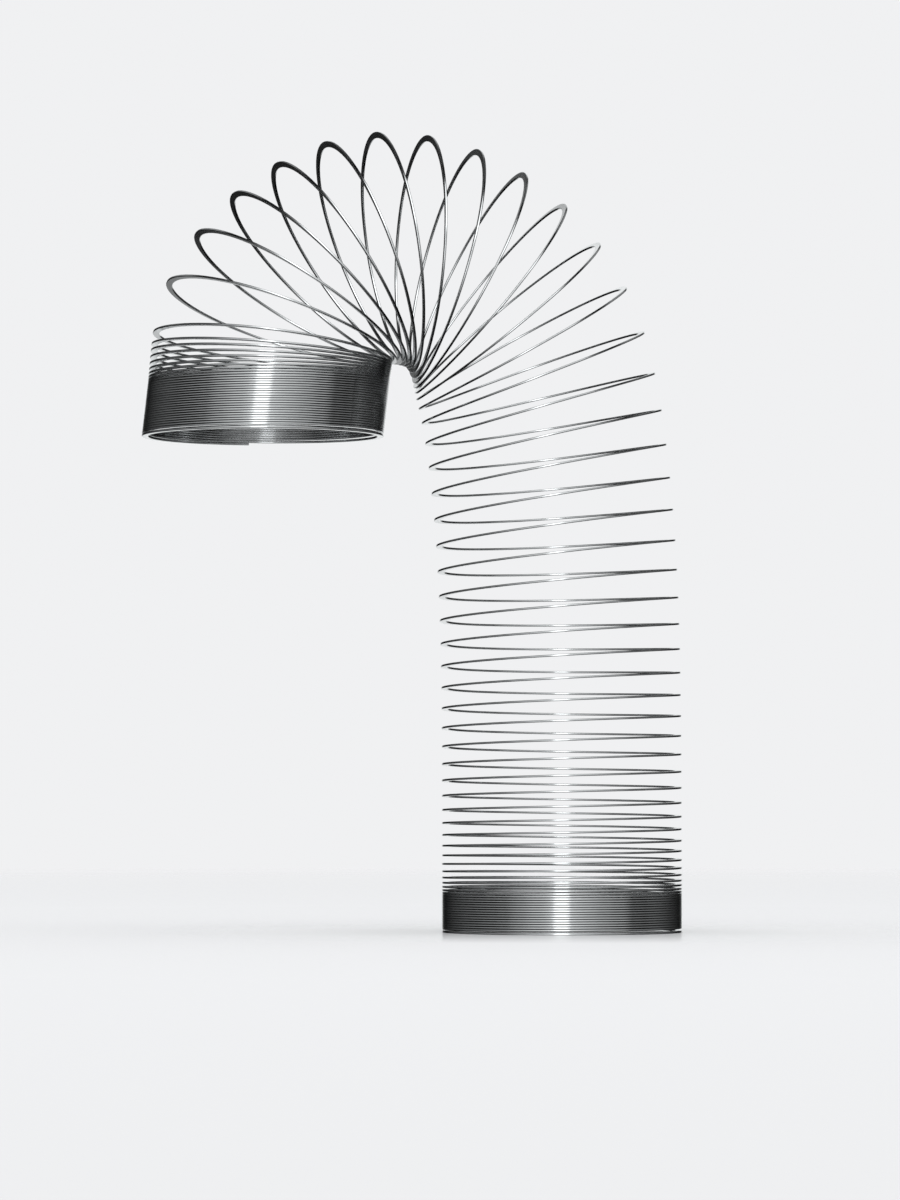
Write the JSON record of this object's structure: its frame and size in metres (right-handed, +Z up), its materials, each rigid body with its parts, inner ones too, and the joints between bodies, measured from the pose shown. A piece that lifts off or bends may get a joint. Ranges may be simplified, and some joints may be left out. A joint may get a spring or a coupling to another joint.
{
  "type": "spring coil toy",
  "caption": "Soft flat-strip steel coil toy draped over a step: closed lower stack, open hanging column, arch and closed upper stack.",
  "frame": {"origin": "under the middle of the whole coil, level with the lower stack's underside on the lower step", "axes": "+Z up along the lower stack and column; the lower stack is at +X and the arch leans over to the upper stack at -X; Y is across, the same on both sides"},
  "size_m": [0.158, 0.07, 0.2327],
  "materials": {
    "spring_steel": "polished"
  },
  "bodies": {
    "lower_stack": {"lower_stack": "spring_steel"},
    "turn_01": {"turn_01": "spring_steel"},
    "turn_02": {"turn_02": "spring_steel"},
    "turn_03": {"turn_03": "spring_steel"},
    "turn_04": {"turn_04": "spring_steel"},
    "turn_05": {"turn_05": "spring_steel"},
    "turn_06": {"turn_06": "spring_steel"},
    "turn_07": {"turn_07": "spring_steel"},
    "turn_08": {"turn_08": "spring_steel"},
    "turn_09": {"turn_09": "spring_steel"},
    "turn_10": {"turn_10": "spring_steel"},
    "turn_11": {"turn_11": "spring_steel"},
    "turn_12": {"turn_12": "spring_steel"},
    "turn_13": {"turn_13": "spring_steel"},
    "turn_14": {"turn_14": "spring_steel"},
    "turn_15": {"turn_15": "spring_steel"},
    "turn_16": {"turn_16": "spring_steel"},
    "turn_17": {"turn_17": "spring_steel"},
    "turn_18": {"turn_18": "spring_steel"},
    "turn_19": {"turn_19": "spring_steel"},
    "turn_20": {"turn_20": "spring_steel"},
    "turn_21": {"turn_21": "spring_steel"},
    "turn_22": {"turn_22": "spring_steel"},
    "turn_23": {"turn_23": "spring_steel"},
    "turn_24": {"turn_24": "spring_steel"},
    "turn_25": {"turn_25": "spring_steel"},
    "turn_26": {"turn_26": "spring_steel"},
    "turn_27": {"turn_27": "spring_steel"},
    "turn_28": {"turn_28": "spring_steel"},
    "turn_29": {"turn_29": "spring_steel"},
    "turn_30": {"turn_30": "spring_steel"},
    "turn_31": {"turn_31": "spring_steel"},
    "turn_32": {"turn_32": "spring_steel"},
    "turn_33": {"turn_33": "spring_steel"},
    "turn_34": {"turn_34": "spring_steel"},
    "turn_35": {"turn_35": "spring_steel"},
    "turn_36": {"turn_36": "spring_steel"},
    "turn_37": {"turn_37": "spring_steel"},
    "turn_38": {"turn_38": "spring_steel"},
    "turn_39": {"turn_39": "spring_steel"},
    "turn_40": {"turn_40": "spring_steel"},
    "turn_41": {"turn_41": "spring_steel"},
    "upper_stack": {"upper_stack": "spring_steel"}
  },
  "joints": [
    {"name": "turn_01_slide", "type": "slide", "parent": "lower_stack", "child": "turn_01", "axis": [-0.0001, 0, 1], "range_m": [-0.00045002, 0.00022506]},
    {"name": "turn_02_slide", "type": "slide", "parent": "turn_01", "child": "turn_02", "axis": [-0.0001, 0, 1], "range_m": [-0.00075, 0.00037]},
    {"name": "turn_03_slide", "type": "slide", "parent": "turn_02", "child": "turn_03", "axis": [-0.0002, 0, 1], "range_m": [-0.00107, 0.00053]},
    {"name": "turn_04_slide", "type": "slide", "parent": "turn_03", "child": "turn_04", "axis": [-0.0002, 0, 1], "range_m": [-0.0014, 0.0007]},
    {"name": "turn_05_slide", "type": "slide", "parent": "turn_04", "child": "turn_05", "axis": [-0.0003, 0, 1], "range_m": [-0.00173, 0.00086]},
    {"name": "turn_06_slide", "type": "slide", "parent": "turn_05", "child": "turn_06", "axis": [-0.0005, 0, 1], "range_m": [-0.00206, 0.00103]},
    {"name": "turn_07_slide", "type": "slide", "parent": "turn_06", "child": "turn_07", "axis": [-0.0007, 0, 1], "range_m": [-0.00239, 0.0012]},
    {"name": "turn_08_slide", "type": "slide", "parent": "turn_07", "child": "turn_08", "axis": [-0.001, 0, 1], "range_m": [-0.00272, 0.00136]},
    {"name": "turn_09_slide", "type": "slide", "parent": "turn_08", "child": "turn_09", "axis": [-0.0014, 0, 1], "range_m": [-0.00305, 0.00153]},
    {"name": "turn_10_slide", "type": "slide", "parent": "turn_09", "child": "turn_10", "axis": [-0.002, 0, 1], "range_m": [-0.00338, 0.00169]},
    {"name": "turn_11_slide", "type": "slide", "parent": "turn_10", "child": "turn_11", "axis": [-0.0028, 0, 1], "range_m": [-0.0037, 0.00185]},
    {"name": "turn_12_slide", "type": "slide", "parent": "turn_11", "child": "turn_12", "axis": [-0.0039, 0, 1], "range_m": [-0.00403, 0.00201]},
    {"name": "turn_13_slide", "type": "slide", "parent": "turn_12", "child": "turn_13", "axis": [-0.0055, 0, 1], "range_m": [-0.00434, 0.00217]},
    {"name": "turn_14_slide", "type": "slide", "parent": "turn_13", "child": "turn_14", "axis": [-0.0076, 0, 1], "range_m": [-0.00465, 0.00233]},
    {"name": "turn_15_slide", "type": "slide", "parent": "turn_14", "child": "turn_15", "axis": [-0.0104, 0, 0.9999], "range_m": [-0.00496, 0.00248]},
    {"name": "turn_16_slide", "type": "slide", "parent": "turn_15", "child": "turn_16", "axis": [-0.0142, 0, 0.9999], "range_m": [-0.00525, 0.00263]},
    {"name": "turn_17_slide", "type": "slide", "parent": "turn_16", "child": "turn_17", "axis": [-0.0193, 0, 0.9998], "range_m": [-0.00553, 0.00277]},
    {"name": "column_stretch", "type": "slide", "parent": "turn_17", "child": "turn_18", "axis": [-0.0258, 0, 0.9997], "range_m": [-0.0058, 0.0029]},
    {"name": "turn_19_hinge", "type": "hinge", "parent": "turn_18", "child": "turn_19", "pos_m": [-0.50925, 0, 0.07394], "axis": [0, -1, 0], "range_deg": [-0.66966, 0.067056]},
    {"name": "turn_20_hinge", "type": "hinge", "parent": "turn_19", "child": "turn_20", "pos_m": [-0.42572, 0, 0.07942], "axis": [0, -1, 0], "range_deg": [-0.83044, 0.083133]},
    {"name": "turn_21_hinge", "type": "hinge", "parent": "turn_20", "child": "turn_21", "pos_m": [-0.36201, 0, 0.08498], "axis": [0, -1, 0], "range_deg": [-1.01, 0.1]},
    {"name": "turn_22_hinge", "type": "hinge", "parent": "turn_21", "child": "turn_22", "pos_m": [-0.31233, 0, 0.09065], "axis": [0, -1, 0], "range_deg": [-1.2, 0.12]},
    {"name": "turn_23_hinge", "type": "hinge", "parent": "turn_22", "child": "turn_23", "pos_m": [-0.26952, 0, 0.09674], "axis": [0, -1, 0], "range_deg": [-1.42, 0.14]},
    {"name": "turn_24_hinge", "type": "hinge", "parent": "turn_23", "child": "turn_24", "pos_m": [-0.22073, 0, 0.10444], "axis": [0, -1, 0], "range_deg": [-1.72, 0.17]},
    {"name": "turn_25_hinge", "type": "hinge", "parent": "turn_24", "child": "turn_25", "pos_m": [-0.15379, 0, 0.11568], "axis": [0, -1, 0], "range_deg": [-2.28, 0.23]},
    {"name": "turn_26_hinge", "type": "hinge", "parent": "turn_25", "child": "turn_26", "pos_m": [-0.07908, 0, 0.13025], "axis": [0, -1, 0], "range_deg": [-3.57, 0.36]},
    {"name": "turn_27_hinge", "type": "hinge", "parent": "turn_26", "child": "turn_27", "pos_m": [-0.02945, 0, 0.14329], "axis": [0, -1, 0], "range_deg": [-6.06, 0.61]},
    {"name": "turn_28_hinge", "type": "hinge", "parent": "turn_27", "child": "turn_28", "pos_m": [-0.01038, 0, 0.15136], "axis": [0, -1, 0], "range_deg": [-8.93, 0.89]},
    {"name": "turn_29_hinge", "type": "hinge", "parent": "turn_28", "child": "turn_29", "pos_m": [-0.00472, 0, 0.15603], "axis": [0, -1, 0], "range_deg": [-10.75, 1.08]},
    {"name": "turn_30_hinge", "type": "hinge", "parent": "turn_29", "child": "turn_30", "pos_m": [-0.00313, 0, 0.1593], "axis": [0, -1, 0], "range_deg": [-11.5, 1.15]},
    {"name": "turn_31_hinge", "type": "hinge", "parent": "turn_30", "child": "turn_31", "pos_m": [-0.00342, 0, 0.16144], "axis": [0, -1, 0], "range_deg": [-11.77, 1.18]},
    {"name": "turn_32_hinge", "type": "hinge", "parent": "turn_31", "child": "turn_32", "pos_m": [-0.00466, 0, 0.16269], "axis": [0, -1, 0], "range_deg": [-11.87, 1.19]},
    {"name": "shoulder_bend", "type": "hinge", "parent": "turn_32", "child": "turn_33", "pos_m": [-0.00619, 0, 0.16338], "axis": [0, -1, 0], "range_deg": [-11.91, 1.19]},
    {"name": "turn_34_hinge", "type": "hinge", "parent": "turn_33", "child": "turn_34", "pos_m": [-0.00678, 0, 0.16355], "axis": [0, -1, 0], "range_deg": [-11.94, 1.19]},
    {"name": "turn_35_hinge", "type": "hinge", "parent": "turn_34", "child": "turn_35", "pos_m": [-0.00508, 0, 0.16368], "axis": [0, -1, 0], "range_deg": [-11.96, 1.2]},
    {"name": "turn_36_hinge", "type": "hinge", "parent": "turn_35", "child": "turn_36", "pos_m": [-0.00491, 0, 0.16327], "axis": [0, -1, 0], "range_deg": [-11.98, 1.2]},
    {"name": "turn_37_hinge", "type": "hinge", "parent": "turn_36", "child": "turn_37", "pos_m": [-0.0063, 0, 0.16251], "axis": [0, -1, 0], "range_deg": [-12.05, 1.21]},
    {"name": "turn_38_hinge", "type": "hinge", "parent": "turn_37", "child": "turn_38", "pos_m": [-0.00776, 0, 0.16152], "axis": [0, -1, 0], "range_deg": [-12.29, 1.23]},
    {"name": "arch_fold", "type": "hinge", "parent": "turn_38", "child": "turn_39", "pos_m": [-0.00869, 0, 0.16099], "axis": [0, -1, 0], "range_deg": [-12.98, 1.3]},
    {"name": "turn_40_hinge", "type": "hinge", "parent": "turn_39", "child": "turn_40", "pos_m": [-0.01328, 0, 0.16394], "axis": [0, -1, 0], "range_deg": [-11.92, 1.19]},
    {"name": "turn_41_hinge", "type": "hinge", "parent": "turn_40", "child": "turn_41", "pos_m": [-0.02505, 0, 0.16546], "axis": [0, -1, 0], "range_deg": [-2.32, 0.23]},
    {"name": "upper_stack_hinge", "type": "hinge", "parent": "turn_41", "child": "upper_stack", "pos_m": [-0.01178, 0, 0.16266], "axis": [0, -1, 0], "range_deg": [-0.99, 0.1]}
  ],
  "couplings": [
    {"joint": "turn_01_slide", "follows": "column_stretch", "ratio": 0.077509},
    {"joint": "turn_02_slide", "follows": "column_stretch", "ratio": 0.12874},
    {"joint": "turn_03_slide", "follows": "column_stretch", "ratio": 0.18406},
    {"joint": "turn_04_slide", "follows": "column_stretch", "ratio": 0.2408},
    {"joint": "turn_05_slide", "follows": "column_stretch", "ratio": 0.29794},
    {"joint": "turn_06_slide", "follows": "column_stretch", "ratio": 0.35513},
    {"joint": "turn_07_slide", "follows": "column_stretch", "ratio": 0.41223},
    {"joint": "turn_08_slide", "follows": "column_stretch", "ratio": 0.46917},
    {"joint": "turn_09_slide", "follows": "column_stretch", "ratio": 0.52587},
    {"joint": "turn_10_slide", "follows": "column_stretch", "ratio": 0.58224},
    {"joint": "turn_11_slide", "follows": "column_stretch", "ratio": 0.63816},
    {"joint": "turn_12_slide", "follows": "column_stretch", "ratio": 0.6935},
    {"joint": "turn_13_slide", "follows": "column_stretch", "ratio": 0.74806},
    {"joint": "turn_14_slide", "follows": "column_stretch", "ratio": 0.80161},
    {"joint": "turn_15_slide", "follows": "column_stretch", "ratio": 0.85388},
    {"joint": "turn_16_slide", "follows": "column_stretch", "ratio": 0.90457},
    {"joint": "turn_17_slide", "follows": "column_stretch", "ratio": 0.95337},
    {"joint": "turn_19_hinge", "follows": "shoulder_bend", "ratio": 0.056201},
    {"joint": "turn_20_hinge", "follows": "shoulder_bend", "ratio": 0.069696},
    {"joint": "turn_21_hinge", "follows": "shoulder_bend", "ratio": 0.084646},
    {"joint": "turn_22_hinge", "follows": "shoulder_bend", "ratio": 0.10088},
    {"joint": "turn_23_hinge", "follows": "shoulder_bend", "ratio": 0.11921},
    {"joint": "turn_24_hinge", "follows": "shoulder_bend", "ratio": 0.14409},
    {"joint": "turn_25_hinge", "follows": "shoulder_bend", "ratio": 0.19121},
    {"joint": "turn_26_hinge", "follows": "shoulder_bend", "ratio": 0.2998},
    {"joint": "turn_27_hinge", "follows": "shoulder_bend", "ratio": 0.50864},
    {"joint": "turn_28_hinge", "follows": "shoulder_bend", "ratio": 0.74961},
    {"joint": "turn_29_hinge", "follows": "shoulder_bend", "ratio": 0.90227},
    {"joint": "turn_30_hinge", "follows": "shoulder_bend", "ratio": 0.96557},
    {"joint": "turn_31_hinge", "follows": "shoulder_bend", "ratio": 0.98799},
    {"joint": "turn_32_hinge", "follows": "shoulder_bend", "ratio": 0.99631},
    {"joint": "turn_34_hinge", "follows": "arch_fold", "ratio": 0.91975},
    {"joint": "turn_35_hinge", "follows": "arch_fold", "ratio": 0.92122},
    {"joint": "turn_36_hinge", "follows": "arch_fold", "ratio": 0.92325},
    {"joint": "turn_37_hinge", "follows": "arch_fold", "ratio": 0.92865},
    {"joint": "turn_38_hinge", "follows": "arch_fold", "ratio": 0.947},
    {"joint": "turn_40_hinge", "follows": "arch_fold", "ratio": 0.91801},
    {"joint": "turn_41_hinge", "follows": "arch_fold", "ratio": 0.1784},
    {"joint": "upper_stack_hinge", "follows": "arch_fold", "ratio": 0.076387}
  ]
}
